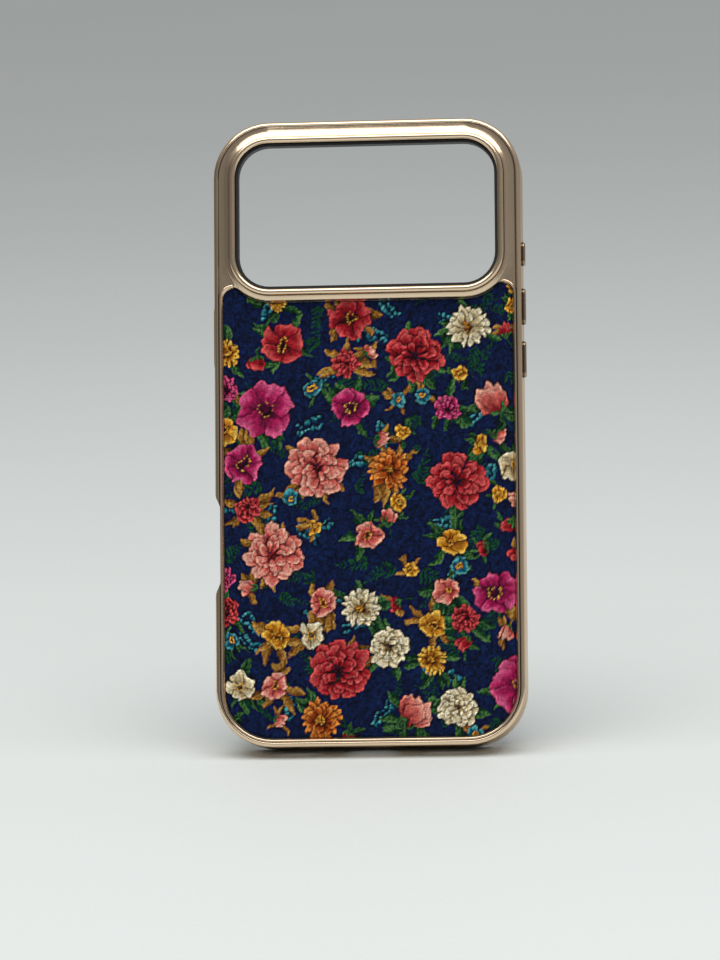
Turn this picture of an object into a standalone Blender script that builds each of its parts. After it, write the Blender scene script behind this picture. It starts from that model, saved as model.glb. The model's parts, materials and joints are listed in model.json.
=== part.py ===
"""Phone case: plated frame with a camera ring, soft inner sleeve, board, fabric back and four sprung keys.

Metres, +Z up. The case stands upright with its camera end up. Its fabric back faces -Y and its open
front faces +Y. The origin is the middle of the seat inside, on the face of the lining.
"""

import math

import bmesh
import bpy

# What the case is made to hold, with the room left round it
PHONE_WIDTH = 0.0780
PHONE_HEIGHT = 0.1634
PHONE_DEPTH = 0.00875
PHONE_CORNER = 0.0130
PHONE_FIT = 0.0002

# Side walls, from the inside outwards
SLEEVE_WALL = 0.0008
FRAME_WALL = 0.0010
BOND_GAP = 0.0001

# Layers of the back, from the inside outwards
LINING_THICKNESS = 0.00035
SLEEVE_FLOOR = 0.0007
BOARD_THICKNESS = 0.0007
FABRIC_THICKNESS = 0.00045
FABRIC_RECESS = 0.0006
LINING_MARGIN = 0.0012

# Frame: rim round the back, made of a rounded edge and a groove, and lip round the open front
RIM_ROUND = 0.0011
RIM_GROOVE_WIDTH = 0.0003
RIM_GROOVE_DEPTH = 0.0003
RIM_SHELF = 0.0004
FRONT_ROUND = 0.0008
FRONT_LIP_WIDTH = 0.0017
FRONT_LIP_THICKNESS = 0.0005

# Bead round the fabric: a slope that rises from the fabric, a round crest and a short fall behind it
BEAD_WIDTH = 0.00105
BEAD_CREST = 0.00035
BEAD_SLOPE = math.radians(50)
BEAD_FALL = math.radians(45)
BEAD_SINK = 0.00005

# Sleeve: lip round the open front, fillet along the floor, collar in the camera window
LIP_CLEARANCE = 0.0001
LIP_THICKNESS = 0.0006
LIP_OVERHANG = 0.0011
FLOOR_FILLET = 0.0012
COLLAR_WALL = 0.0007
COLLAR_RISE = 0.0005

# Camera window, its ring and the deck that carries the ring, with a sloping skirt and a flange round the ring
WINDOW_HEIGHT = 0.03945
RING_WIDTH = 0.00165
RING_RISE = 0.0022
RING_SKIRT = 0.0008
FLANGE_WIDTH = 0.0011
FLANGE_RISE = 0.00083
FLANGE_FALL = 0.00036
FLANGE_ROUND = 0.0002
FLANGE_MARGIN = 0.00065
SKIRT_SLOPE = math.radians(13)
SKIRT_MARGIN = 0.0001
SKIRT_SINK = 0.00003
DECK_MARGIN = 0.0006
DECK_HOLD = 0.0005
DECK_RELIEF = 0.0001
DECK_OVERLAP = 0.0003
HORN_RADIUS = 0.0025

# Keys: a drop is measured from the top of the inside to the middle of the key
KEY_WIDTH = 0.0028
KEY_PROUD = 0.0008
KEY_ROUND = 0.00045
KEY_CLEARANCE = 0.00025
KEY_FLANGE = 0.00045
KEY_FLANGE_THICKNESS = 0.00035
KEY_TRAVEL = 0.0003
ACTION_KEY_LENGTH = 0.0063
ACTION_KEY_DROP = 0.03405
VOLUME_KEY_LENGTH = 0.0097
VOLUME_KEY_DROP = 0.04825
VOLUME_KEY_PITCH = 0.0142
SIDE_KEY_LENGTH = 0.0165
SIDE_KEY_DROP = 0.0551

# Scalloped finger notch with its slot, on the side of the side key
NOTCH_DROP = 0.1115
NOTCH_FLAT = 0.0196
NOTCH_RAMP = 0.0040
NOTCH_DEPTH = 0.00133
NOTCH_FLOOR = 0.0005
NOTCH_END = 0.0010
NOTCH_SLOT_LENGTH = 0.0185
NOTCH_SLOT_WIDTH = 0.0050

# Openings in the bottom wall
PORT_LENGTH = 0.0135
PORT_WIDTH = 0.0062
SOUND_SLOT_LENGTH = 0.0115
SOUND_SLOT_WIDTH = 0.0022
SOUND_SLOT_OFFSET = 0.0195

# How finely round stretches are cut, and the angle from which an edge is shaded sharp
CORNER_STEPS = 10
FILLET_STEPS = 5
FLANGE_STEPS = 3
BEAD_STEPS = 6
STADIUM_STEPS = 7
RAMP_STEPS = 6
SHARP_ANGLE = math.radians(32)

# How far a cutter reaches past what it cuts
CUT_REACH = 0.004

# Colours, roughness and metallic value of each finish
PLATING = ((0.47, 0.35, 0.25), 0.28, 1.0)
SOFT_BLACK = ((0.012, 0.012, 0.013), 0.65, 0.0)
PAD_GREY = ((0.03, 0.03, 0.032), 0.7, 0.0)
BOARD_GREY = ((0.05, 0.05, 0.055), 0.5, 0.0)
LINING_GREY = ((0.035, 0.035, 0.04), 0.95, 0.0)
FABRIC_NAVY = ((0.016, 0.022, 0.06), 0.8, 0.0)

# Insets from the frame's outer face
SLEEVE_OUTER = FRAME_WALL + BOND_GAP
SLEEVE_INNER = SLEEVE_OUTER + SLEEVE_WALL
PHONE_SIDE = SLEEVE_INNER + PHONE_FIT

RIM_BEAD_START = RIM_ROUND + RIM_GROOVE_WIDTH
RIM_WIDTH = RIM_BEAD_START + BEAD_WIDTH
DECK_INSET = RIM_BEAD_START + DECK_RELIEF

HALF_WIDTH = PHONE_WIDTH / 2 + PHONE_SIDE
HALF_HEIGHT = PHONE_HEIGHT / 2 + PHONE_SIDE
CORNER = PHONE_CORNER + PHONE_SIDE

# Depths of the layers, along Y
SEAT_Y = 0.0
LINING_BACK_Y = SEAT_Y - LINING_THICKNESS
FLOOR_Y = LINING_BACK_Y - BOND_GAP
SLEEVE_BACK_Y = FLOOR_Y - SLEEVE_FLOOR
BOARD_FRONT_Y = SLEEVE_BACK_Y - BOND_GAP
BOARD_BACK_Y = BOARD_FRONT_Y - BOARD_THICKNESS
LEDGE_Y = BOARD_BACK_Y - BOND_GAP
FABRIC_BACK_Y = LEDGE_Y - FABRIC_THICKNESS
RIM_Y = FABRIC_BACK_Y - FABRIC_RECESS
DECK_Y = RIM_Y + DECK_RELIEF
DECK_FOOT_Y = DECK_Y + DECK_RELIEF
LIP_Y = SEAT_Y + PHONE_DEPTH + LIP_CLEARANCE
LIP_TOP_Y = LIP_Y + LIP_THICKNESS
FRONT_LIP_Y = LIP_TOP_Y + BOND_GAP
FRONT_Y = FRONT_LIP_Y + FRONT_LIP_THICKNESS
MID_Y = SEAT_Y + PHONE_DEPTH / 2

# Camera window, centred across the case
FLANGE_START = RING_WIDTH + BOND_GAP
FLANGE_END = FLANGE_START + FLANGE_WIDTH
WINDOW_INSET = RIM_WIDTH + FLANGE_MARGIN + FLANGE_END
WINDOW_HALF_WIDTH = HALF_WIDTH - WINDOW_INSET
WINDOW_TOP = HALF_HEIGHT - WINDOW_INSET
WINDOW_BOTTOM = WINDOW_TOP - WINDOW_HEIGHT
WINDOW_MID = (WINDOW_TOP + WINDOW_BOTTOM) / 2
WINDOW_CORNER = CORNER - WINDOW_INSET
DECK_EDGE = FLANGE_END + DECK_MARGIN
DECK_HOLE = RING_SKIRT + BOND_GAP
COLLAR_OUTER = -BOND_GAP
COLLAR_INNER = COLLAR_OUTER - COLLAR_WALL

PHONE_TOP = PHONE_HEIGHT / 2
NOTCH_INNER = NOTCH_DEPTH + NOTCH_FLOOR
NOTCH_HALF_SPAN = NOTCH_FLAT / 2 + NOTCH_RAMP
NOTCH_Z = PHONE_TOP - NOTCH_DROP

RIGHT = 1
LEFT = -1


def clear_scene():
    for item in list(bpy.data.objects):
        bpy.data.objects.remove(item, do_unlink=True)


def finish_material(name, finish):
    colour, roughness, metallic = finish
    material = bpy.data.materials.new(name)
    material.use_nodes = True
    shader = material.node_tree.nodes["Principled BSDF"]
    shader.inputs["Base Color"].default_value = (*colour, 1.0)
    shader.inputs["Roughness"].default_value = roughness
    shader.inputs["Metallic"].default_value = metallic
    return material


def arc(centre_u, centre_v, radius, start, end, steps):
    """Points of an arc in a plane, both ends included."""
    points = []
    for step in range(steps + 1):
        angle = start + (end - start) * step / steps
        points.append((centre_u + radius * math.cos(angle), centre_v + radius * math.sin(angle)))
    return points


def rounded_rectangle(half_width, half_height, radius, centre_z=0.0):
    """Outline in X and Z, from the lower right corner round by the top."""
    flat_x = half_width - radius
    flat_z = half_height - radius
    points = []
    for quarter, (sign_x, sign_z) in enumerate(((1, -1), (1, 1), (-1, 1), (-1, -1))):
        start = (quarter - 1) * math.pi / 2
        end = quarter * math.pi / 2
        points += arc(sign_x * flat_x, centre_z + sign_z * flat_z, radius, start, end, CORNER_STEPS)
    return points


def case_outline(inset):
    return rounded_rectangle(HALF_WIDTH - inset, HALF_HEIGHT - inset, CORNER - inset)


def window_outline(growth):
    """The camera window's outline, grown outwards."""
    return rounded_rectangle(
        WINDOW_HALF_WIDTH + growth, WINDOW_HEIGHT / 2 + growth, WINDOW_CORNER + growth, WINDOW_MID
    )


def stadium(half_length, half_width):
    """A bar with round ends in a plane, long along its second axis."""
    reach = half_length - half_width
    points = arc(0.0, reach, half_width, 0.0, math.pi, STADIUM_STEPS)
    points += arc(0.0, -reach, half_width, math.pi, 2 * math.pi, STADIUM_STEPS)
    return points


def deck_edge_half(gap):
    """Left half of the deck's lower edge, from the rim over the horn to the middle, lowered by a gap."""
    rim_x = HALF_WIDTH - RIM_WIDTH
    ring_x = WINDOW_HALF_WIDTH - WINDOW_CORNER
    ring_z = WINDOW_BOTTOM + WINDOW_CORNER
    ring_radius = WINDOW_CORNER + DECK_EDGE
    across = rim_x - HORN_RADIUS - ring_x
    down = math.sqrt((ring_radius + HORN_RADIUS) ** 2 - across ** 2)
    horn_x = HORN_RADIUS - rim_x
    horn_z = ring_z - down
    meeting = math.atan2(down, across)
    horn = arc(horn_x, horn_z, HORN_RADIUS - gap, math.pi, meeting, CORNER_STEPS)
    below_ring = arc(-ring_x, ring_z, ring_radius + gap, math.pi + meeting, 1.5 * math.pi, CORNER_STEPS)
    return horn + below_ring[1:]


def deck_edge(gap):
    half = deck_edge_half(gap)
    return half + [(-x, z) for x, z in reversed(half)]


def panel_outline(gap):
    """The opening below the deck that the fabric fills, shrunk by a gap."""
    inset = RIM_WIDTH + gap
    lower = case_outline(inset)
    corner_points = CORNER_STEPS + 1
    right_corner = lower[:corner_points]
    left_corner = lower[-corner_points:]
    return right_corner + list(reversed(deck_edge(gap))) + left_corner


def deck_plate_outline():
    """The deck: the top of the case inside the rim, down to where the horns start."""
    corner_points = CORNER_STEPS + 1
    upper = case_outline(DECK_INSET)[corner_points:3 * corner_points]
    horn_z = deck_edge(0.0)[0][1]
    rim_x = HALF_WIDTH - DECK_INSET
    return upper + [(-rim_x, horn_z), (rim_x, horn_z)]


def at_depth(outline, depth):
    return [(x, depth, z) for x, z in outline]


def make_object(name, mesh_builder, finish=None, location=(0.0, 0.0, 0.0)):
    mesh = bpy.data.meshes.new(name)
    bmesh.ops.recalc_face_normals(mesh_builder, faces=mesh_builder.faces)
    mesh_builder.to_mesh(mesh)
    mesh_builder.free()
    item = bpy.data.objects.new(name, mesh)
    item.location = location
    bpy.context.collection.objects.link(item)
    if finish is not None:
        mesh.materials.append(finish_material(name, finish))
        mesh.shade_smooth()
        mesh.set_sharp_from_angle(angle=SHARP_ANGLE)
    return item


def add_loops(builder, loops):
    return [[builder.verts.new(point) for point in loop] for loop in loops]


def bridge(builder, first, second):
    count = len(first)
    for index in range(count):
        following = (index + 1) % count
        builder.faces.new((first[index], first[following], second[following], second[index]))


def ring_body(loops):
    """A closed ring: each loop is joined to the next, and the last to the first."""
    builder = bmesh.new()
    rows = add_loops(builder, loops)
    for row, following in zip(rows, rows[1:] + rows[:1]):
        bridge(builder, row, following)
    return builder


def lofted_body(loops):
    """A closed bar: each loop is joined to the next, and both ends are capped."""
    builder = bmesh.new()
    rows = add_loops(builder, loops)
    for row, following in zip(rows, rows[1:]):
        bridge(builder, row, following)
    builder.faces.new(rows[0])
    builder.faces.new(rows[-1])
    return builder


def add_boolean(item, operation, other):
    """Keeps the other solid as a hidden guide and joins it to this one, or cuts it out."""
    other.hide_render = True
    other.display_type = "WIRE"
    modifier = item.modifiers.new(other.name, "BOOLEAN")
    modifier.operation = operation
    modifier.solver = "EXACT"
    modifier.object = other


def plate(outline, near, far):
    return lofted_body([at_depth(outline, near), at_depth(outline, far)])


def side_x(side, inset):
    """X of a place at an inset from the outer face of the right or left wall."""
    return side * (HALF_WIDTH - inset)


def side_cutter(name, side, half_length, half_width, z, near, far):
    """A bar with round ends through a side wall, between two insets."""
    outline = stadium(half_length, half_width)
    loops = []
    for inset in (near, far):
        loops.append([(side_x(side, inset), MID_Y + across, z + along) for across, along in outline])
    return make_object(name, lofted_body(loops))


def bottom_cutter(name, x, length, width, near, far):
    """A bar with round ends through the bottom wall, between two insets."""
    outline = stadium(length / 2, width / 2)
    loops = []
    for inset in (near, far):
        loops.append([(x + along, MID_Y + across, inset - HALF_HEIGHT) for across, along in outline])
    return make_object(name, lofted_body(loops))


def bottom_openings():
    """Name, middle, length and width of each opening in the bottom wall."""
    openings = [("port", 0.0, PORT_LENGTH, PORT_WIDTH)]
    for label, side in (("left", LEFT), ("right", RIGHT)):
        openings.append((f"sound_{label}", side * SOUND_SLOT_OFFSET, SOUND_SLOT_LENGTH, SOUND_SLOT_WIDTH))
    return openings


def keys():
    """Name, side, length and height of each key's middle."""
    volume_up = PHONE_TOP - VOLUME_KEY_DROP
    return [
        ("action_key", RIGHT, ACTION_KEY_LENGTH, PHONE_TOP - ACTION_KEY_DROP),
        ("volume_up_key", RIGHT, VOLUME_KEY_LENGTH, volume_up),
        ("volume_down_key", RIGHT, VOLUME_KEY_LENGTH, volume_up - VOLUME_KEY_PITCH),
        ("side_key", LEFT, SIDE_KEY_LENGTH, PHONE_TOP - SIDE_KEY_DROP),
    ]


def frame_profile():
    """The frame's section as inset and depth, from the ledge out over the groove to the front lip."""
    shelf = RIM_BEAD_START + RIM_SHELF
    groove_y = RIM_Y + RIM_GROOVE_DEPTH
    section = [(FRAME_WALL, LEDGE_Y), (shelf, LEDGE_Y), (shelf, groove_y)]
    section.append((RIM_ROUND + RIM_GROOVE_WIDTH / 2, groove_y))
    section += arc(RIM_ROUND, RIM_Y + RIM_ROUND, RIM_ROUND, 1.5 * math.pi, math.pi, FILLET_STEPS)
    section += arc(FRONT_ROUND, FRONT_Y - FRONT_ROUND, FRONT_ROUND, math.pi, math.pi / 2, FILLET_STEPS)
    section += [(FRONT_LIP_WIDTH, FRONT_Y), (FRONT_LIP_WIDTH, FRONT_LIP_Y), (FRAME_WALL, FRONT_LIP_Y)]
    return section


def bead_profile():
    """The bead round the fabric, as gap from the fabric's opening and depth."""
    foot = FABRIC_BACK_Y + BEAD_SINK
    run = BEAD_WIDTH - BEAD_CREST * (math.sin(BEAD_SLOPE) + math.sin(BEAD_FALL))
    crest_gap = -run - BEAD_CREST * math.sin(BEAD_SLOPE)
    crest_y = foot - run * math.tan(BEAD_SLOPE) + BEAD_CREST * math.cos(BEAD_SLOPE)
    under = LEDGE_Y - BEAD_SINK
    section = [(-BEAD_WIDTH, under), (0.0, under), (0.0, foot)]
    start = BEAD_SLOPE - math.pi / 2
    end = -BEAD_FALL - math.pi / 2
    section += arc(crest_gap, crest_y, BEAD_CREST, start, end, BEAD_STEPS)
    return section


def skirt_profile():
    """The deck's slope up to the flange, as growth from the window's edge and depth."""
    outer = WINDOW_INSET - DECK_INSET - SKIRT_MARGIN
    inner = (FLANGE_START + FLANGE_END) / 2
    low = DECK_Y + SKIRT_SINK
    high = low - (outer - inner) * math.tan(SKIRT_SLOPE)
    return [(inner, DECK_FOOT_Y), (inner, high), (outer, low), (outer, DECK_FOOT_Y)]


def flange_profile():
    """The raised flange round the ring, as growth from the window's edge and depth."""
    outer = FLANGE_END - FLANGE_ROUND
    centre_y = DECK_Y - FLANGE_RISE + FLANGE_FALL + FLANGE_ROUND
    section = [(FLANGE_START, DECK_FOOT_Y), (FLANGE_START, DECK_Y - FLANGE_RISE)]
    section += arc(outer, centre_y, FLANGE_ROUND, 1.5 * math.pi, 2 * math.pi, FLANGE_STEPS)
    section.append((FLANGE_END, DECK_FOOT_Y))
    return section


def notch_cutter(name, depth):
    """A prism along Y that cuts the scallop: a flat floor with a smooth ramp at each end."""
    profile = []
    for step in range(RAMP_STEPS + 1):
        along = step / RAMP_STEPS
        rise = along * along * (3 - 2 * along)
        profile.append((depth * rise, NOTCH_Z - NOTCH_HALF_SPAN + NOTCH_RAMP * along))
    profile += [(inset, 2 * NOTCH_Z - z) for inset, z in reversed(profile)]
    outside = -CUT_REACH
    profile = [(outside, profile[0][1])] + profile + [(outside, profile[-1][1])]
    loops = []
    for depth_y in (RIM_Y - CUT_REACH, FRONT_Y + CUT_REACH):
        loops.append([(side_x(LEFT, inset), depth_y, z) for inset, z in profile])
    return make_object(name, lofted_body(loops))


def notch_block(name, near, far, margin):
    """The stretch of wall that is set inwards behind the scallop, or the room for it."""
    half_span = NOTCH_HALF_SPAN + NOTCH_END + margin
    low_y = LEDGE_Y - DECK_RELIEF
    high_y = FRONT_LIP_Y + DECK_RELIEF
    corners = [(near, -half_span), (far, -half_span), (far, half_span), (near, half_span)]
    loops = []
    for depth_y in (low_y, high_y):
        loops.append([(side_x(LEFT, inset), depth_y, NOTCH_Z + along) for inset, along in corners])
    return make_object(name, lofted_body(loops))


def window_ring(name, profile):
    """A ring round the camera window with the given section."""
    return make_object(name, ring_body([at_depth(window_outline(growth), depth) for growth, depth in profile]))


def add_deck(frame):
    """Joins the camera deck to the frame, with its hole, skirt and flange, and the bead round the fabric."""
    deck = plate(deck_plate_outline(), LEDGE_Y - DECK_RELIEF, DECK_Y)
    hole = plate(window_outline(DECK_HOLE), LEDGE_Y + CUT_REACH, RIM_Y - CUT_REACH)
    room = plate(panel_outline(-DECK_HOLD), LEDGE_Y + CUT_REACH, RIM_Y - CUT_REACH)
    bead = ring_body([at_depth(panel_outline(gap), depth) for gap, depth in bead_profile()])
    add_boolean(frame, "UNION", make_object("deck_guide", deck))
    add_boolean(frame, "UNION", window_ring("skirt_guide", skirt_profile()))
    add_boolean(frame, "UNION", window_ring("flange_guide", flange_profile()))
    add_boolean(frame, "DIFFERENCE", make_object("deck_hole", hole))
    add_boolean(frame, "DIFFERENCE", make_object("fabric_room", room))
    add_boolean(frame, "UNION", make_object("bead_guide", bead))


def add_notch(frame):
    """Sets the left wall inwards behind the finger notch, then cuts the scallop and its slot."""
    block = notch_block("notch_guide", FRAME_WALL - DECK_OVERLAP, NOTCH_INNER, 0.0)
    scallop = notch_cutter("notch_scallop", NOTCH_DEPTH)
    slot = side_cutter(
        "notch_slot", LEFT, NOTCH_SLOT_LENGTH / 2, NOTCH_SLOT_WIDTH / 2, NOTCH_Z, -CUT_REACH, CUT_REACH
    )
    add_boolean(frame, "UNION", block)
    add_boolean(frame, "DIFFERENCE", scallop)
    add_boolean(frame, "DIFFERENCE", slot)


def build_frame():
    loops = [at_depth(case_outline(inset), depth) for inset, depth in frame_profile()]
    frame = make_object("bumper_frame", ring_body(loops), PLATING)
    add_deck(frame)
    add_notch(frame)
    for name, side, length, z in keys():
        half_length = length / 2 + KEY_CLEARANCE
        half_width = KEY_WIDTH / 2 + KEY_CLEARANCE
        slot = side_cutter(f"{name}_slot", side, half_length, half_width, z, -CUT_REACH, SLEEVE_OUTER)
        add_boolean(frame, "DIFFERENCE", slot)
    for name, x, length, width in bottom_openings():
        cutter = bottom_cutter(f"{name}_slot", x, length, width, -CUT_REACH, SLEEVE_OUTER)
        add_boolean(frame, "DIFFERENCE", cutter)


def ring_profile():
    """The ring's section as growth from the window's edge and depth: a skirt and a round bead above it."""
    bead = RING_WIDTH / 2
    bead_y = RIM_Y - RING_RISE + bead
    section = [(RING_SKIRT, LEDGE_Y), (0.0, LEDGE_Y)]
    section += arc(bead, bead_y, bead, math.pi, 2 * math.pi, 2 * FILLET_STEPS)
    section += [(RING_WIDTH, DECK_Y - BOND_GAP), (RING_SKIRT, DECK_Y - BOND_GAP)]
    return section


def build_ring():
    loops = [at_depth(window_outline(growth), depth) for growth, depth in ring_profile()]
    make_object("camera_ring", ring_body(loops), PLATING)


def sleeve_loops():
    """The tray's section: collar, floor, fillet, wall and lip inside, then back along the outside."""
    collar_top = RIM_Y - COLLAR_RISE
    lip_inner = SLEEVE_INNER + LIP_OVERHANG
    loops = [at_depth(window_outline(COLLAR_INNER), FLOOR_Y)]
    fillet_inset = SLEEVE_INNER + FLOOR_FILLET
    fillet_y = FLOOR_Y + FLOOR_FILLET
    walls = arc(fillet_inset, fillet_y, FLOOR_FILLET, 1.5 * math.pi, math.pi, FILLET_STEPS)
    walls += [
        (SLEEVE_INNER, LIP_Y),
        (lip_inner, LIP_Y),
        (lip_inner, LIP_TOP_Y),
        (SLEEVE_OUTER, LIP_TOP_Y),
        (SLEEVE_OUTER, SLEEVE_BACK_Y),
    ]
    loops += [at_depth(case_outline(inset), depth) for inset, depth in walls]
    collar = [(COLLAR_OUTER, SLEEVE_BACK_Y), (COLLAR_OUTER, collar_top), (COLLAR_INNER, collar_top)]
    loops += [at_depth(window_outline(growth), depth) for growth, depth in collar]
    return loops


def build_sleeve():
    sleeve = make_object("inner_sleeve", ring_body(sleeve_loops()), SOFT_BLACK)
    room = notch_block("sleeve_notch_room", -CUT_REACH, NOTCH_INNER + BOND_GAP, BOND_GAP)
    add_boolean(sleeve, "DIFFERENCE", room)
    for name, side, length, z in keys():
        half_length = length / 2 + KEY_FLANGE + KEY_CLEARANCE
        half_width = KEY_WIDTH / 2 + KEY_FLANGE + KEY_CLEARANCE
        window = side_cutter(f"{name}_window", side, half_length, half_width, z, -CUT_REACH, PHONE_SIDE)
        add_boolean(sleeve, "DIFFERENCE", window)
    for name, x, length, width in bottom_openings():
        cutter = bottom_cutter(f"{name}_window", x, length, width, -CUT_REACH, PHONE_SIDE)
        add_boolean(sleeve, "DIFFERENCE", cutter)


def build_board():
    loops = [
        at_depth(window_outline(0.0), BOARD_FRONT_Y),
        at_depth(case_outline(SLEEVE_OUTER), BOARD_FRONT_Y),
        at_depth(case_outline(SLEEVE_OUTER), BOARD_BACK_Y),
        at_depth(window_outline(0.0), BOARD_BACK_Y),
    ]
    board = make_object("back_board", ring_body(loops), BOARD_GREY)
    room = notch_block("board_notch_room", -CUT_REACH, NOTCH_INNER + BOND_GAP, BOND_GAP)
    add_boolean(board, "DIFFERENCE", room)


def build_fabric():
    make_object("fabric_panel", plate(panel_outline(BOND_GAP), LEDGE_Y, FABRIC_BACK_Y), FABRIC_NAVY)


def build_lining():
    edge = SLEEVE_INNER + LINING_MARGIN
    hole = COLLAR_INNER + LINING_MARGIN
    loops = [
        at_depth(window_outline(hole), SEAT_Y),
        at_depth(case_outline(edge), SEAT_Y),
        at_depth(case_outline(edge), LINING_BACK_Y),
        at_depth(window_outline(hole), LINING_BACK_Y),
    ]
    make_object("microfibre_lining", ring_body(loops), LINING_GREY)


def key_loops(side, length):
    """A key about its own middle on the wall's outer face: retaining flange, shank and rounded cap."""
    flange_outer = FRAME_WALL + BOND_GAP
    flange_inner = flange_outer + KEY_FLANGE_THICKNESS
    sections = [(flange_inner, KEY_FLANGE), (flange_outer, KEY_FLANGE), (flange_outer, 0.0)]
    for step in range(FILLET_STEPS + 1):
        angle = math.pi / 2 * step / FILLET_STEPS
        inset = KEY_ROUND * (1 - math.sin(angle)) - KEY_PROUD
        sections.append((inset, KEY_ROUND * (math.cos(angle) - 1)))
    loops = []
    for inset, growth in sections:
        outline = stadium(length / 2 + growth, KEY_WIDTH / 2 + growth)
        loops.append([(-side * inset, across, along) for across, along in outline])
    return loops


def pad_loops(side, length):
    """The soft pad behind a key, about the same middle, set back by the key's travel."""
    outer = FRAME_WALL + 2 * BOND_GAP + KEY_FLANGE_THICKNESS
    outline = stadium(length / 2, KEY_WIDTH / 2)
    loops = []
    for inset in (outer, PHONE_SIDE - KEY_TRAVEL):
        loops.append([(-side * inset, across, along) for across, along in outline])
    return loops


def build_keys():
    for name, side, length, z in keys():
        place = (side_x(side, 0.0), MID_Y, z)
        make_object(name, lofted_body(key_loops(side, length)), PLATING, place)
        make_object(f"{name}_pad", lofted_body(pad_loops(side, length)), PAD_GREY, place)


def main():
    clear_scene()
    build_frame()
    build_ring()
    build_sleeve()
    build_board()
    build_fabric()
    build_lining()
    build_keys()


main()
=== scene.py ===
"""Looks of a phone case with a printed fabric back: finishes, fabric, lining, floor, lights and camera.

Metres, +Z up, the fabric back faces -Y. The printed cloth is painted in millimetres.
"""

import json
import math

import bmesh
import bpy
import numpy as np
from mathutils import Matrix, Vector
from mathutils.geometry import delaunay_2d_cdt


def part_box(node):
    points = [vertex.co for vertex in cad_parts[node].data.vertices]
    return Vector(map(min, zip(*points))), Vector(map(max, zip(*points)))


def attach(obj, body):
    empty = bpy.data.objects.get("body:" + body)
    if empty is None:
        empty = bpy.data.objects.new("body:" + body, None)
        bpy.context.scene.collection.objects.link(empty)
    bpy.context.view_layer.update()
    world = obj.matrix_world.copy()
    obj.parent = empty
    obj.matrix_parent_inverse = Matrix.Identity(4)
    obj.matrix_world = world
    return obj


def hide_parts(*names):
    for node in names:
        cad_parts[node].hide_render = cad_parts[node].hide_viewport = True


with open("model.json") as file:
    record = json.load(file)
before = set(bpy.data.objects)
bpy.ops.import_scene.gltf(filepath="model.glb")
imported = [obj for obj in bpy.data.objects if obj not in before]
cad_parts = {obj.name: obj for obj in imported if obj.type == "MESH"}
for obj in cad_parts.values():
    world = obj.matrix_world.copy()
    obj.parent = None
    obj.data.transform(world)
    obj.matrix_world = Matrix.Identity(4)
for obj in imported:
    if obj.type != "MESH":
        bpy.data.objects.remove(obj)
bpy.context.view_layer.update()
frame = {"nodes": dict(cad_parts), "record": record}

MM = 0.001

# Camera: place in metres, turn in degrees, focal length in pixels of a frame 960 pixels high
CAMERA_PLACE = (0.1192, -1.3173, -0.1560)
CAMERA_HEADING = 5.281
CAMERA_CLIMB = 6.179
CAMERA_ROLL = -0.473
CAMERA_FOCAL_PIXELS = 5000
FRAME_LONG_SIDE = 960
SENSOR_WIDTH = 36.0
CAMERA_CLIP = (0.01, 200.0)

# The case leans back on its lower edge, so in its own frame the floor is tilted
FLOOR_TILT = math.radians(16.0)
FLOOR_SIZE = 80.0
FLOOR_UP = Vector((0.0, -math.sin(FLOOR_TILT), math.cos(FLOOR_TILT)))
FLOOR_AHEAD = Vector((0.0, -math.cos(FLOOR_TILT), -math.sin(FLOOR_TILT)))

# Room: a bright ceiling, dim to the left, brighter to the right and above
CEILING_HEIGHT = 1.1
CEILING_AHEAD = 0.34
CEILING_SIZE = (1.67, 1.14)
CEILING_POWER = 14.5
CEILING_COLOUR = (1.0, 0.985, 0.96)
ROOM_LEFT = (0.15, 0.15, 0.15)
ROOM_RIGHT = (0.32, 0.32, 0.315)
ROOM_ABOVE = (0.56, 0.56, 0.55)
ROOM_SIDE_SPAN = (-1.0, 1.0)
ROOM_ABOVE_SPAN = (0.35, 0.85)

# Welding and shading of the rigid pieces
WELD_DISTANCE = 1e-6
FLAT_ANGLE = math.radians(0.4)
SHARP_ANGLE = math.radians(32)
SHEET_SHARP_ANGLE = math.radians(50)

# Plating: its tone, and how light the ring and the keys are against the frame: the slightly lighter ring is
# painted light, and the darker keys are painted shade for the dim room their sides face
CHAMPAGNE = np.array([0.80, 0.62, 0.44])
RING_PAINTED_LIGHT = 1.02
KEY_PAINTED_SHADE = 0.55

# Painted shade in the plating's grooves and seams: how far it looks for nearby faces, the open shares
# between which the plating goes from painted dark to unshaded, and how dark the painted shade is
GROOVE_SHADE_REACH = 1.2 * MM
GROOVE_SHADE_SPAN = (0.5, 0.93)
GROOVE_SHADE_TONE = 0.12

# Printed cloth
CLOTH_STEP = 0.34 * MM
CLOTH_EDGE_ROUND = 0.30 * MM
CLOTH_EDGE_DROP = 0.14 * MM
CLOTH_RELIEF = 0.012 * MM
INK_STRENGTH = (0.42, 0.84)
PRINT_STEP = 0.11
PRINT_SEED = 41
GROUND_MOTTLE = 0.40
INK_MOTTLE = 0.22
FROND_REACH = 3.6
FROND_COUNT = 110
FROND_SPACING = 0.9
BLOOM_COUNTS = ((7.8, 7), (5.6, 13), (3.8, 22), (2.2, 34))
BLOOM_SPACING = 1.02
PRINT_CONTRAST = 1.2
PRINT_GAIN = 1.3
BRUSH_WAVERS = ((0.75, 2.6), (0.35, 0.9))
CRISP_REACH = 5
CRISP_STRENGTH = 1.1

# Napped lining
LINING_STEP = 2.0 * MM


def linear(red, green, blue):
    """Scene colour of an 8-bit display colour."""
    shares = np.array([red, green, blue], float) / 255
    return np.where(shares <= 0.04045, shares / 12.92, ((shares + 0.055) / 1.055) ** 2.4)


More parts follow.
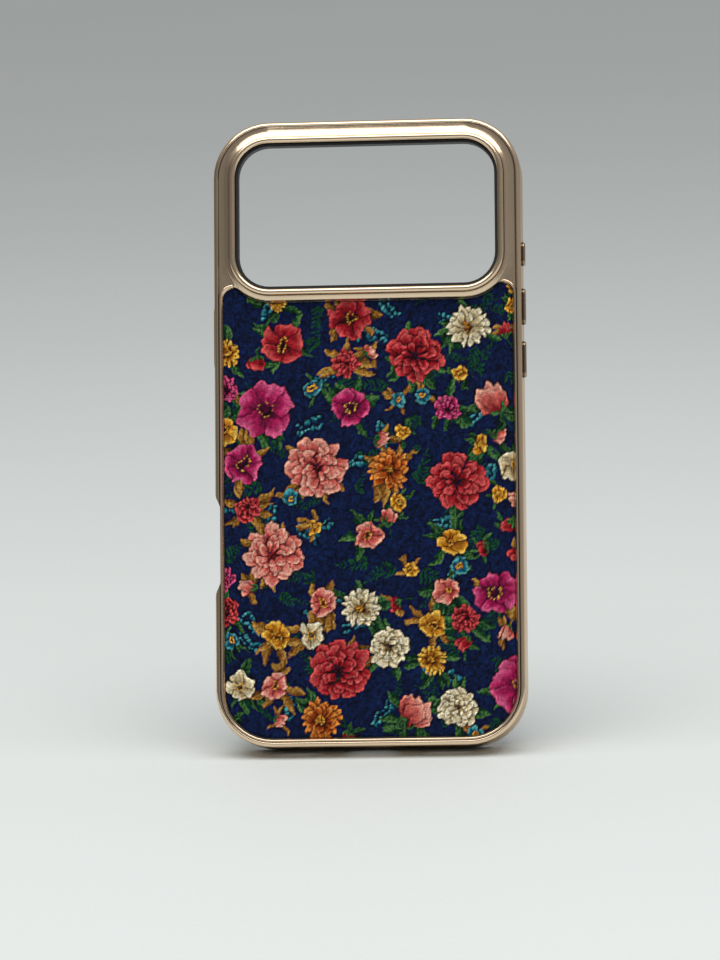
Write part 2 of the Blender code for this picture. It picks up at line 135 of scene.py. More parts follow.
class Finish:
    """A material on a Principled shader, built up node by node."""

    def __init__(self, name):
        self.material = bpy.data.materials.new(name)
        self.material.use_nodes = True
        self.nodes = self.material.node_tree.nodes
        self.links = self.material.node_tree.links
        self.shader = self.nodes["Principled BSDF"]
        self.places = self.add("ShaderNodeTexCoord").outputs["Object"]

    def add(self, kind, **settings):
        node = self.nodes.new(kind)
        for name, value in settings.items():
            setattr(node, name, value)
        return node

    def feed(self, target, source):
        """Links an output to an input, or sets the input's own value."""
        if isinstance(source, bpy.types.NodeSocket):
            self.links.new(source, target)
        elif target.type == "RGBA":
            target.default_value = (*source, 1.0)
        else:
            target.default_value = source

    def set(self, **values):
        """Sets shader inputs, with underscores for spaces."""
        for name, value in values.items():
            self.feed(self.shader.inputs[name.replace("_", " ")], value)
        return self

    def noise(self, size, detail=2.0, roughness=0.5, places=None, stretch=(1.0, 1.0, 1.0)):
        """Soft noise whose features are about the given size in metres."""
        shift = self.add("ShaderNodeMapping")
        shift.inputs["Scale"].default_value = [share / size for share in stretch]
        self.feed(shift.inputs["Vector"], places or self.places)
        node = self.add("ShaderNodeTexNoise")
        self.feed(node.inputs["Vector"], shift.outputs["Vector"])
        self.feed(node.inputs["Scale"], 1.0)
        self.feed(node.inputs["Detail"], detail)
        self.feed(node.inputs["Roughness"], roughness)
        return node.outputs["Fac"]

    def ranged(self, source, low, high, new_low, new_high):
        node = self.add("ShaderNodeMapRange")
        for name, value in zip(("Value", "From Min", "From Max", "To Min", "To Max"),
                               (source, low, high, new_low, new_high)):
            self.feed(node.inputs[name], value)
        return node.outputs["Result"]

    def sum(self, first, second, operation="ADD"):
        node = self.add("ShaderNodeMath", operation=operation)
        self.feed(node.inputs[0], first)
        self.feed(node.inputs[1], second)
        return node.outputs["Value"]

    def mixed(self, share, first, second, blend="MIX"):
        node = self.add("ShaderNodeMix", data_type="RGBA", blend_type=blend)
        self.feed(node.inputs["Factor"], share)
        self.feed(node.inputs[6], first)
        self.feed(node.inputs[7], second)
        return node.outputs[2]

    def open_share(self, reach):
        """Share of the sky that nearby faces leave open: low in grooves and seams."""
        node = self.add("ShaderNodeAmbientOcclusion", samples=12)
        self.feed(node.inputs["Distance"], reach)
        return node.outputs["AO"]

    def bumped(self, height, depth, strength):
        node = self.add("ShaderNodeBump")
        self.feed(node.inputs["Height"], height)
        self.feed(node.inputs["Distance"], depth)
        self.feed(node.inputs["Strength"], strength)
        return node.outputs["Normal"]


def plating(name, tone, roughness):
    """Satin champagne plating: faint cloudiness, a fine grain, and painted shade that darkens its grooves
    and seams.
    """
    finish = Finish(name)
    clouds = finish.noise(0.018, detail=3.0)
    grain = finish.noise(0.00016, detail=2.0)
    unshaded_tone = finish.mixed(finish.ranged(clouds, 0.3, 0.7, 0.0, 1.0), tone * 0.95, tone * 1.04)
    # Painted shade: the base colour goes dark where nearby faces close off the sky, in the grooves and
    # seams.
    unshaded_share = finish.ranged(finish.open_share(GROOVE_SHADE_REACH), *GROOVE_SHADE_SPAN, 0.0, 1.0)
    tint = finish.mixed(unshaded_share, tone * GROOVE_SHADE_TONE, unshaded_tone)
    smears = finish.noise(0.006, detail=4.0, stretch=(1.0, 1.0, 0.35))
    gloss = finish.ranged(smears, 0.3, 0.7, roughness - 0.03, roughness + 0.04)
    normal = finish.bumped(grain, 0.000001, 0.3)
    finish.set(Base_Color=tint, Metallic=1.0, Roughness=gloss, Normal=normal)
    return finish.set(Specular_Tint=tone * 0.95).material


def soft_rubber(name, tone, roughness, grain_size):
    """Matt moulded rubber with a fine grain and a few paler scuffs."""
    finish = Finish(name)
    grain = finish.noise(grain_size, detail=3.0)
    dust = finish.noise(0.004, detail=6.0, roughness=0.7)
    tint = finish.mixed(finish.ranged(dust, 0.5, 0.8, 0.0, 0.5), tone, tone * 1.8 + 0.004)
    gloss = finish.ranged(dust, 0.3, 0.7, roughness - 0.06, roughness + 0.06)
    normal = finish.bumped(grain, 0.00002, 0.35)
    return finish.set(Base_Color=tint, Roughness=gloss, Normal=normal).material


def board_plastic(name):
    """Smooth dark sheet plastic with faint flow marks."""
    finish = Finish(name)
    flow = finish.noise(0.012, detail=3.0, stretch=(1.0, 1.0, 0.2))
    tint = finish.mixed(flow, linear(44, 44, 47), linear(58, 58, 61))
    gloss = finish.ranged(flow, 0.3, 0.7, 0.42, 0.52)
    return finish.set(Base_Color=tint, Roughness=gloss).material


def printed_cloth(name):
    """Matt printed cloth: the print, a fine weave and the broken, mottled ink of a canvas."""
    finish = Finish(name)
    ink = finish.add("ShaderNodeAttribute", attribute_name="print").outputs["Color"]
    warp = finish.noise(0.0003, detail=2.0, stretch=(1.0, 1.0, 0.3))
    weft = finish.noise(0.0003, detail=2.0, stretch=(0.3, 1.0, 1.0))
    weave = finish.sum(warp, weft)
    worn = finish.noise(0.0012, detail=5.0, roughness=0.65)
    shade = finish.ranged(weave, 0.75, 1.25, *INK_STRENGTH)
    inked = finish.mixed(1.0, ink, shade, "MULTIPLY")
    faded = finish.mixed(finish.ranged(worn, 0.56, 0.72, 0.0, 0.35), inked, linear(12, 14, 24))
    height = finish.sum(weave, finish.sum(worn, 0.7, "MULTIPLY"))
    normal = finish.bumped(height, 0.00004, 0.6)
    finish.set(Base_Color=faded, Roughness=0.82, Normal=normal)
    return finish.set(Specular_IOR_Level=0.12).material


def napped_cloth(name):
    """Dark microfibre: short nap that lies in brushed patches."""
    finish = Finish(name)
    nap = finish.noise(0.00025, detail=3.0)
    patches = finish.noise(0.011, detail=3.0, stretch=(1.0, 1.0, 0.5))
    brushed = finish.ranged(patches, 0.35, 0.65, 0.0, 1.0)
    base = finish.mixed(brushed, linear(50, 50, 55), linear(66, 66, 72))
    tint = finish.mixed(finish.ranged(nap, 0.3, 0.7, 0.0, 0.6), base, linear(92, 92, 98))
    normal = finish.bumped(nap, 0.0001, 0.7)
    finish.set(Base_Color=tint, Roughness=0.95, Normal=normal, Sheen_Weight=0.5, Sheen_Roughness=0.4)
    return finish.set(Specular_IOR_Level=0.15).material


def pale_floor(name):
    """Pale matt sheet with a fine pressed grain."""
    finish = Finish(name)
    grain = finish.noise(0.0016, detail=4.0)
    clouds = finish.noise(0.35, detail=2.0)
    tint = finish.mixed(clouds, linear(219, 225, 225), linear(225, 230, 230))
    normal = finish.bumped(grain, 0.0004, 0.35)
    return finish.set(Base_Color=tint, Roughness=0.6, Normal=normal, Specular_IOR_Level=0.25).material


def new_piece(name, mesh, material, body, slot, *stands_for):
    piece = bpy.data.objects.new(name, mesh)
    bpy.context.scene.collection.objects.link(piece)
    mesh.materials.clear()
    mesh.materials.append(material)
    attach(piece, body)
    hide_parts(*stands_for)
    return piece


def welded(node):
    """A node's mesh with its corners joined."""
    builder = bmesh.new()
    builder.from_mesh(frame["nodes"][node].data)
    bmesh.ops.remove_doubles(builder, verts=builder.verts, dist=WELD_DISTANCE)
    return builder


def smooth_piece(node, body, slot, material):
    """A rigid node's own shape with flat faces made whole and round stretches shaded smooth."""
    builder = welded(node)
    bmesh.ops.dissolve_limit(builder, angle_limit=FLAT_ANGLE, verts=builder.verts, edges=builder.edges)
    mesh = bpy.data.meshes.new(f"{node}_skin")
    builder.to_mesh(mesh)
    builder.free()
    mesh.shade_smooth()
    mesh.set_sharp_from_angle(angle=SHARP_ANGLE)
    piece = new_piece(f"{node}_skin", mesh, material, body, slot, node)
    normals = piece.modifiers.new("even_normals", "WEIGHTED_NORMAL")
    normals.keep_sharp = True


def face_outlines(node, depth):
    """Outlines of a flat node's face at a depth along Y, as lists of (x, z), the largest first."""
    builder = welded(node)
    near = WELD_DISTANCE * 10
    flat = [face for face in builder.faces if all(abs(v.co.y - depth) < near for v in face.verts)]
    following = {}
    for face in flat:
        for corner in face.loops:
            if corner.link_loop_radial_next.face not in flat:
                following[corner.vert] = corner.link_loop_next.vert
    outlines = []
    while following:
        corner = next(iter(following))
        outline = []
        while corner in following:
            outline.append((corner.co.x, corner.co.z))
            corner = following.pop(corner)
        outlines.append(outline)
    builder.free()
    return sorted(outlines, key=outline_area, reverse=True)


def outline_area(outline):
    pairs = zip(outline, outline[1:] + outline[:1])
    return abs(sum(x0 * z1 - x1 * z0 for (x0, z0), (x1, z1) in pairs)) / 2


def distance_to_outline(places, outline):
    """How far each place lies from the nearest stretch of an outline."""
    best = np.full(len(places), np.inf)
    ends = np.array(outline)
    for start, end in zip(ends, np.roll(ends, -1, axis=0)):
        run = end - start
        share = np.clip((places - start) @ run / (run @ run), 0, 1)
        best = np.minimum(best, np.linalg.norm(places - start - share[:, None] * run, axis=1))
    return best


def inside_outline(places, outline):
    """Which places lie inside an outline."""
    inside = np.zeros(len(places), bool)
    ends = np.array(outline)
    for (x0, z0), (x1, z1) in zip(ends, np.roll(ends, -1, axis=0)):
        crosses = (z0 > places[:, 1]) != (z1 > places[:, 1])
        if z0 != z1:
            inside ^= crosses & (places[:, 0] < x0 + (places[:, 1] - z0) * (x1 - x0) / (z1 - z0))
    return inside


class Cloth:
    """Paint on a fine grid over the panel; places and lengths are in millimetres."""

    def __init__(self, low, high, ground):
        self.low = np.array(low)
        columns, rows = np.ceil((np.array(high) - self.low) / PRINT_STEP).astype(int) + 1
        self.colour = np.tile(ground, (rows, columns, 1))

    def window(self, centre, reach):
        """The stretch of grid within reach of a place, and its X and Z measured from there."""
        rows, columns = self.colour.shape[:2]
        first = np.floor((centre - reach - self.low) / PRINT_STEP).astype(int)
        last = np.ceil((centre + reach - self.low) / PRINT_STEP).astype(int)
        column = np.arange(max(first[0], 0), min(last[0], columns))
        row = np.arange(max(first[1], 0), min(last[1], rows))
        across = self.low[0] + column * PRINT_STEP - centre[0]
        up = self.low[1] + row * PRINT_STEP - centre[1]
        return np.ix_(row, column), *np.meshgrid(across, up)

    def lay(self, where, cover, colour):
        under = self.colour[where]
        self.colour[where] = under + cover[..., None] * (colour - under)

    def places(self):
        """Places of the grid's points, row by row."""
        rows, columns = self.colour.shape[:2]
        steps = np.stack(np.meshgrid(np.arange(columns), np.arange(rows)), axis=2)
        return self.low + steps.reshape(-1, 2) * PRINT_STEP

    def mottle(self, chance, depth):
        """Breaks the ink into flecks, some paler and some darker."""
        places = self.places()
        flecks = value_noise(chance, places, 0.45) + 0.8 * value_noise(chance, places, 1.1)
        self.colour *= (1 + depth * flecks.reshape(*self.colour.shape[:2], 1)).clip(0.3, 2)

    def waver(self, chance, reach, size):
        """Shifts the paint a little to and fro, as a loose brush does."""
        places = self.places()
        shift = np.column_stack([value_noise(chance, places, size) for _ in range(2)])
        self.colour = self.sampled(places + reach * shift).reshape(self.colour.shape)

    def sharpen(self, reach, strength):
        """Lifts each place from the mean of those around it, for crisp edges."""
        steps = range(-reach, reach + 1)
        mean = sum(np.roll(self.colour, step, axis=0) for step in steps) / len(steps)
        mean = sum(np.roll(mean, step, axis=1) for step in steps) / len(steps)
        self.colour = np.maximum(self.colour + strength * (self.colour - mean), self.colour * 0.15)

    def sampled(self, places):
        """Colours at places, read between the grid's points."""
        at = (places - self.low) / PRINT_STEP
        rows, columns = self.colour.shape[:2]
        column = np.clip(np.floor(at[:, 0]).astype(int), 0, columns - 2)
        row = np.clip(np.floor(at[:, 1]).astype(int), 0, rows - 2)
        right = np.clip(at[:, 0] - column, 0, 1)[:, None]
        up = np.clip(at[:, 1] - row, 0, 1)[:, None]
        below = self.colour[row, column] * (1 - right) + self.colour[row, column + 1] * right
        above = self.colour[row + 1, column] * (1 - right) + self.colour[row + 1, column + 1] * right
        return below * (1 - up) + above * up


def eased(share):
    share = np.clip(share, 0, 1)
    return share * share * (3 - 2 * share)


def heading(angle):
    return np.array([math.cos(angle), math.sin(angle)])


# Inks: each has a deep, a middle and a light tone
CRIMSON = (linear(84, 14, 26), linear(176, 40, 54), linear(224, 104, 104))
SALMON = (linear(150, 48, 52), linear(222, 122, 112), linear(244, 186, 168))
MAGENTA = (linear(92, 12, 54), linear(184, 42, 104), linear(226, 112, 156))
CREAM = (linear(140, 116, 82), linear(224, 206, 166), linear(246, 238, 214))
GOLD = (linear(132, 74, 16), linear(214, 152, 48), linear(244, 206, 106))
ORANGE = (linear(116, 46, 14), linear(196, 104, 36), linear(232, 160, 84))
GREEN = (linear(10, 40, 34), linear(26, 84, 54), linear(116, 158, 96))
DIM_GREEN = (linear(12, 44, 42), linear(18, 74, 56), linear(44, 108, 74))
OCHRE = (linear(84, 56, 24), linear(160, 114, 50), linear(212, 174, 100))
TEAL = (linear(12, 64, 84), linear(34, 122, 138), linear(110, 184, 190))
NAVY = linear(21, 41, 82)
INK = linear(26, 14, 20)
SHADE = linear(14, 16, 34)


def toned(tones, share):
    """Colour between an ink's deep, middle and light tones."""
    deep, middle, light = tones
    share = np.clip(share, 0, 1)[..., None]
    lower = deep + (middle - deep) * np.minimum(share * 2, 1)
    return lower + (light - middle) * np.maximum(share * 2 - 1, 0)


def paint_petal(cloth, chance, root, angle, length, width, tones, crown=1.5, blunt=0.6, notch=0.0):
    """One petal from its root outwards: its shadow, streaks, a shaded side and a pale edge."""
    where, x, z = cloth.window(root, length * 1.05 + width / 2)
    ahead = heading(angle)
    across = z * ahead[0] - x * ahead[1]
    along = (x * ahead[0] + z * ahead[1]) / length
    across = across + 0.05 * width * np.sin(9 * along + chance.uniform(0, 6))
    along = along + notch * np.exp(-(across / (0.22 * width)) ** 2) * np.clip(along, 0, 1) ** 2
    half = width / 2 * np.sin(np.pi * np.clip(along, 0, 1) ** crown) ** blunt
    depth = half - np.abs(across)
    side = across / np.maximum(half, 0.05)
    streak = np.sin(side * chance.uniform(5, 8) + chance.uniform(0, 6) + 2 * along)
    streak += 0.6 * np.sin(side * chance.uniform(10, 15) + chance.uniform(0, 6))
    light = 1.02 * np.clip(along, 0, 1) ** 1.5 + 0.06 * streak - 0.20 * np.clip(side, -1, 1)
    light = light + 0.22 * np.exp(-((depth - 0.34) / 0.16) ** 2) * np.clip(along, 0, 1)
    colour = toned(tones, light + chance.uniform(-0.16, 0.12))
    edge = 0.65 * (1 - eased(depth / 0.24))
    colour = colour + edge[..., None] * (tones[0] * 0.3 - colour)
    shadow = 0.75 * eased((depth + 0.5) / 0.8) * eased(along * 4) * eased((1.1 - along) * 6)
    cloth.lay(where, shadow, tones[0] * 0.12 + SHADE * 0.5)
    cloth.lay(where, eased(depth / 0.14), colour)


def paint_leaf(cloth, chance, root, angle, length, width, tones):
    """One leaf with a pale midrib, slanting veins and one lit half."""
    where, x, z = cloth.window(root, length * 1.05)
    bend = chance.uniform(-0.12, 0.12) * length
    ahead = heading(angle)
    along = (x * ahead[0] + z * ahead[1]) / length
    across = z * ahead[0] - x * ahead[1] - bend * np.clip(along, 0, 1) ** 2
    half = width / 2 * np.sin(np.pi * np.clip(along, 0, 1) ** 0.85) ** 0.9
    depth = half - np.abs(across)
    side = np.clip(across / np.maximum(half, 0.05), -1, 1)
    veins = np.sin(30 * along - 5 * np.abs(side))
    light = 0.36 + 0.30 * np.sign(chance.uniform(-1, 1)) * side + 0.10 * veins + 0.24 * along
    colour = toned(tones, light + chance.uniform(-0.14, 0.14))
    rib = 0.6 * (1 - eased(np.abs(across) / 0.15)) * eased((0.95 - along) * 8)
    colour = colour + rib[..., None] * (tones[2] - colour)
    edge = 0.5 * (1 - eased(depth / 0.22))
    colour = colour + edge[..., None] * (tones[0] * 0.5 - colour)
    cloth.lay(where, eased(depth / 0.14), colour)


def paint_dot(cloth, centre, radius, tones, light=0.6):
    """A small ball, lit from the upper left."""
    where, x, z = cloth.window(centre, radius * 1.5)
    away = np.hypot(x, z)
    shade = light + 0.35 * (z - x) / max(radius, 0.05) - 0.25 * (away / radius) ** 2
    cloth.lay(where, eased((radius - away) / 0.14 + 0.5), toned(tones, shade))


def paint_stem(cloth, start, angle, length, bend, width, colour, count=26):
    """A thin curved stem; gives its places and headings for what grows on it."""
    places = []
    place = np.array(start, float)
    for step in range(count):
        turn = angle + bend * step / count
        place = place + heading(turn) * length / count
        places.append((place.copy(), turn))
        where, x, z = cloth.window(place, width * 2)
        cloth.lay(where, eased((width / 2 - np.hypot(x, z)) / 0.14 + 0.5) * 0.9, colour)
    return places


def paint_frond(cloth, chance, start, angle, length, tones, leaflets=7):
    """A fern-like frond: a curved stem with leaflets in pairs that shorten towards the tip."""
    places = paint_stem(cloth, start, angle, length, chance.uniform(-0.7, 0.7), 0.22, tones[1])
    step = len(places) / leaflets
    for pair in range(leaflets):
        place, turn = places[int(pair * step)]
        size = length * (0.36 - 0.24 * pair / leaflets)
        for side in (-1, 1):
            slant = turn + side * chance.uniform(0.7, 1.0)
            paint_leaf(cloth, chance, place, slant, size, size * 0.36, tones)
    tip, turn = places[-1]
    paint_leaf(cloth, chance, tip, turn, length * 0.2, length * 0.08, tones)


def paint_spray(cloth, chance, start, angle, length, tones):
    """A light spray of berries on short stalks."""
    places = paint_stem(cloth, start, angle, length, chance.uniform(-0.8, 0.8), 0.18, tones[0])
    for index in range(3, len(places), 3):
        place, turn = places[index]
        for side in (-1, 1):
            berry = place + heading(turn + side * chance.uniform(0.7, 1.3)) * chance.uniform(0.6, 1.3)
            paint_dot(cloth, berry, chance.uniform(0.32, 0.55), tones, chance.uniform(0.4, 0.8))


def paint_rosette(cloth, chance, centre, radius, tones, rings=4):
    """A full, many-petalled bloom, laid from its outer ring inwards."""
    for ring in range(rings):
        share = 1 - ring / rings
        count = 5 + round(6 * share)
        turn = chance.uniform(0, 2 * math.pi)
        for petal in chance.permutation(count):
            angle = turn + 2 * math.pi * (petal + chance.uniform(-0.2, 0.2)) / count
            root = centre + heading(angle) * radius * 0.22 * share
            length = radius * (0.26 + 0.56 * share) * chance.uniform(0.88, 1.08)
            width = length * chance.uniform(0.52, 0.72)
            paint_petal(cloth, chance, root, angle, length, width, tones, crown=1.7, blunt=0.7,
                        notch=chance.uniform(0.0, 0.08))
    for _ in range(9):
        seed = centre + heading(chance.uniform(0, 6.3)) * radius * 0.12 * chance.uniform(0.1, 1)
        paint_dot(cloth, seed, radius * 0.05, (INK, tones[0], tones[1]), 0.3)


def paint_wild_rose(cloth, chance, centre, radius, tones, heart=GOLD):
    """Five broad heart-shaped petals round a boss of stamens."""
    turn = chance.uniform(0, 2 * math.pi)
    for petal in range(5):
        angle = turn + 2 * math.pi * (petal + chance.uniform(-0.08, 0.08)) / 5
        root = centre + heading(angle) * radius * 0.05
        paint_petal(cloth, chance, root, angle, radius * chance.uniform(0.92, 1.02), radius * 1.05, tones,
                    crown=1.7, blunt=0.5, notch=0.16)
    paint_dot(cloth, centre, radius * 0.17, (INK, tones[0], tones[0]), 0.4)
    for stamen in range(12):
        angle = 2 * math.pi * stamen / 12 + chance.uniform(-0.2, 0.2)
        paint_dot(cloth, centre + heading(angle) * radius * chance.uniform(0.2, 0.32), 0.2, heart, 0.8)


def paint_aster(cloth, chance, centre, radius, tones, heart=GOLD):
    """Two layers of narrow rays round a dotted button."""
    for layer, share in enumerate((1.0, 0.72)):
        count = 15 - 3 * layer
        turn = chance.uniform(0, 1)
        for ray in chance.permutation(count):
            angle = turn + 2 * math.pi * (ray + chance.uniform(-0.15, 0.15)) / count
            root = centre + heading(angle) * radius * 0.1
            length = radius * 0.9 * share * chance.uniform(0.9, 1.05)
            paint_petal(cloth, chance, root, angle, length, radius * 0.34, tones, crown=1.3, blunt=0.6)
    paint_dot(cloth, centre, radius * 0.26, (heart[0] * 0.6, heart[0], heart[1]), 0.5)
    for _ in range(14):
        seed = centre + heading(chance.uniform(0, 6.3)) * radius * 0.2 * chance.uniform(0.2, 1)
        paint_dot(cloth, seed, 0.2, heart, 0.7)


def paint_tulip(cloth, chance, centre, radius, tones):
    """A cup of upright petals seen from the side, on a short stem with two leaves."""
    angle = math.pi / 2 + chance.uniform(-0.9, 0.9)
    foot = centre - heading(angle) * radius * 0.8
    paint_stem(cloth, foot, angle + math.pi, radius * 0.8, chance.uniform(-0.6, 0.6), 0.35, GREEN[1])
    for side in (-1, 1):
        paint_leaf(cloth, chance, foot, angle + side * 2.3, radius * 1.0, radius * 0.36, GREEN)
    for lean, length, width in ((-0.5, 1.6, 0.85), (0.5, 1.6, 0.85), (-0.2, 1.75, 0.9), (0.22, 1.7, 0.9)):
        paint_petal(cloth, chance, foot, angle + lean * 0.8, radius * length, radius * width, tones,
                    crown=1.15, blunt=0.75)
    paint_petal(cloth, chance, foot, angle, radius * 1.45, radius * 0.95, tones, crown=1.1, blunt=0.7)
    for side in (-1, 1):
        paint_leaf(cloth, chance, foot, angle + side * 0.75, radius * 0.7, radius * 0.3, GREEN)


def paint_bud(cloth, chance, centre, radius, tones):
    """A closed bud in its sepals."""
    angle = chance.uniform(0, 2 * math.pi)
    foot = centre - heading(angle) * radius
    paint_stem(cloth, foot, angle + math.pi, radius * 1.4, chance.uniform(-0.8, 0.8), 0.25, GREEN[1])
    for lean in (-0.35, 0.35, 0.0):
        paint_petal(cloth, chance, foot, angle + lean, radius * 2.0, radius * 1.15, tones,
                    crown=1.1, blunt=0.7)
    for lean in (-0.7, 0.7, 0.0):
        paint_leaf(cloth, chance, foot, angle + lean, radius * 1.1, radius * 0.45, GREEN)


def scattered(chance, low, high, wanted, spacing):
    """Places for blooms of the wanted sizes, the largest first, that keep clear of each other."""
    placed = []
    for radius in wanted:
        for _ in range(90):
            place = chance.uniform(low, high)
            if all(np.hypot(*(place - other)) > spacing * (radius + size) for other, size in placed):
                placed.append((place, radius))
                break
    return placed


def painted_cloth(low, high):
    """A dense mixed-flower print on navy, drawn from seeded chance."""
    chance = np.random.default_rng(PRINT_SEED)
    cloth = Cloth(low, high, NAVY)
    cloth.mottle(chance, GROUND_MOTTLE)
    low, high = np.array(low), np.array(high)
    for place, _ in scattered(chance, low, high, [FROND_REACH] * FROND_COUNT, FROND_SPACING):
        draw = paint_frond if chance.random() < 0.7 else paint_spray
        tones = DIM_GREEN if draw is paint_frond else TEAL
        draw(cloth, chance, place, chance.uniform(0, 6.3), chance.uniform(5.5, 9), tones)
    sizes = [radius for radius, count in BLOOM_COUNTS for _ in range(count)]
    blooms = scattered(chance, low, high, sizes, BLOOM_SPACING)
    for place, radius in blooms:
        tones = OCHRE if chance.random() < 0.45 else GREEN
        for _ in range(chance.integers(3, 6) + 2 * (radius > 3)):
            angle = chance.uniform(0, 2 * math.pi)
            length = chance.uniform(4.4, 6.8) if radius > 3 else chance.uniform(2.8, 4.0)
            root = place + heading(angle) * radius * 0.6
            paint_leaf(cloth, chance, root, angle + chance.uniform(-0.5, 0.5), length, length * 0.42, tones)
    large = [(paint_rosette, CRIMSON), (paint_rosette, SALMON), (paint_wild_rose, MAGENTA)]
    middle = [(paint_wild_rose, MAGENTA), (paint_rosette, CREAM), (paint_aster, ORANGE),
              (paint_tulip, SALMON), (paint_wild_rose, CRIMSON), (paint_aster, CREAM)]
    small = [(paint_wild_rose, GOLD), (paint_rosette, CRIMSON), (paint_aster, GOLD),
             (paint_wild_rose, SALMON), (paint_rosette, MAGENTA), (paint_wild_rose, CREAM)]
    tiny = [(paint_bud, SALMON), (paint_wild_rose, GOLD), (paint_bud, CRIMSON), (paint_wild_rose, TEAL)]
    turns = {}
    for place, radius in sorted(blooms, key=lambda bloom: bloom[1]):
        kinds = large if radius > 7 else middle if radius > 5 else small if radius > 3 else tiny
        turn = turns.get(radius, 0)
        turns[radius] = turn + 1
        draw, tones = kinds[turn % len(kinds)]
        draw(cloth, chance, place, radius * chance.uniform(0.92, 1.06), tones)
    for reach, size in BRUSH_WAVERS:
        cloth.waver(chance, reach, size)
    cloth.sharpen(CRISP_REACH, CRISP_STRENGTH)
    cloth.mottle(chance, INK_MOTTLE)
    cloth.colour = PRINT_GAIN * cloth.colour ** PRINT_CONTRAST
    return cloth


def column_span(outline, x):
    """Lowest and highest Z of an outline at one X."""
    heights = []
    for (x0, z0), (x1, z1) in zip(outline, outline[1:] + outline[:1]):
        if x0 != x1 and min(x0, x1) <= x <= max(x0, x1):
            heights.append(z0 + (z1 - z0) * (x - x0) / (x1 - x0))
    return min(heights), max(heights)


def cloth_grid(outline):
    """Rows of places, in X and Z, that fill an outline whose columns are each one stretch."""
    half_width = max(x for x, _ in outline)
    lowest = min(z for _, z in outline)
    corner = half_width - max(x for x, z in outline if z < lowest + WELD_DISTANCE)
    flat = half_width - corner
    middle = np.linspace(-flat, flat, round(2 * flat / CLOTH_STEP) + 1)
    turns = np.linspace(0, math.pi / 2, round(math.pi / 2 * corner / CLOTH_STEP) + 1)[1:]
    right = flat + corner * np.sin(turns)
    right[-1] = half_width - WELD_DISTANCE
    columns = np.concatenate([-right[::-1], middle, right])
    spans = np.array([column_span(outline, x) for x in columns])
    rows = round((spans[:, 1] - spans[:, 0]).max() / CLOTH_STEP) + 1
    shares = np.linspace(0, 1, rows)[:, None]
    heights = spans[:, 0] + (spans[:, 1] - spans[:, 0]) * shares
    return np.stack([np.broadcast_to(columns, heights.shape), heights], axis=2)


def value_noise(chance, places, size):
    """Smooth noise from -1 to 1 with features of the given size."""
    at = (places - places.min(axis=0)) / size
    knots = chance.uniform(-1, 1, np.ceil(at.max(axis=0)).astype(int) + 2)
    cell = np.floor(at).astype(int)
    share = eased(at - cell)
    x, z = cell.T
    low = knots[x, z] * (1 - share[:, 0]) + knots[x + 1, z] * share[:, 0]
    high = knots[x, z + 1] * (1 - share[:, 0]) + knots[x + 1, z + 1] * share[:, 0]
    return low * (1 - share[:, 1]) + high * share[:, 1]


def closed_sheet(name, front, faces, rim, back_depth):
    """A thin closed sheet: front places and faces, walls down from the rim, and a back."""
    count = len(front)
    back = [(front[index][0], back_depth, front[index][2]) for index in rim]
    walls = []
    for index in range(len(rim)):
        following = (index + 1) % len(rim)
        walls.append((rim[index], rim[following], count + following, count + index))
    cap = [tuple(range(count, count + len(rim)))]
    mesh = bpy.data.meshes.new(name)
    mesh.from_pydata([tuple(place) for place in front] + back, [], faces + walls + cap)
    builder = bmesh.new()
    builder.from_mesh(mesh)
    bmesh.ops.recalc_face_normals(builder, faces=builder.faces)
    builder.to_mesh(mesh)
    builder.free()
    mesh.shade_smooth()
    mesh.set_sharp_from_angle(angle=SHEET_SHARP_ANGLE)
    return mesh


def make_fabric():
    """The printed cloth on the back, stretched over the board inside the rim."""
    low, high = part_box("fabric_panel")
    outline = face_outlines("fabric_panel", low.y)[0]
    grid = cloth_grid(outline)
    rows, columns = grid.shape[:2]
    places = grid.reshape(-1, 2)
    chance = np.random.default_rng(PRINT_SEED)
    rounding = 1 - eased(distance_to_outline(places, outline) / CLOTH_EDGE_ROUND)
    relief = value_noise(chance, places, 0.0021) + 0.6 * value_noise(chance, places, 0.0008)
    depths = low.y + CLOTH_EDGE_DROP * rounding + CLOTH_RELIEF * relief * (1 - rounding)
    front = np.column_stack([places[:, 0], np.maximum(depths, low.y), places[:, 1]])
    index = np.arange(rows * columns).reshape(rows, columns)
    corners = [index[:-1, :-1], index[:-1, 1:], index[1:, 1:], index[1:, :-1]]
    quads = np.stack(corners, axis=2).reshape(-1, 4)
    rim = np.concatenate([index[0], index[1:, -1], index[-1, -2::-1], index[-2:0:-1, 0]]).tolist()
    mesh = closed_sheet("fabric_print", front, [tuple(quad) for quad in quads.tolist()], rim, high.y)
    print_low = (low.x / MM - 1, low.z / MM - 1)
    print_high = (high.x / MM + 1, high.z / MM + 1)
    cloth = painted_cloth(print_low, print_high)
    spots = np.empty(len(mesh.vertices) * 3)
    mesh.vertices.foreach_get("co", spots)
    colours = cloth.sampled(spots.reshape(-1, 3)[:, [0, 2]] / MM)
    layer = mesh.color_attributes.new("print", "FLOAT_COLOR", "POINT")
    layer.data.foreach_set("color", np.column_stack([colours, np.ones(len(colours))]).ravel())
    fabric = new_piece("fabric_print", mesh, printed_cloth("printed_fabric"), "case", "printed_fabric",
                       "fabric_panel")
    outline_area(outline)


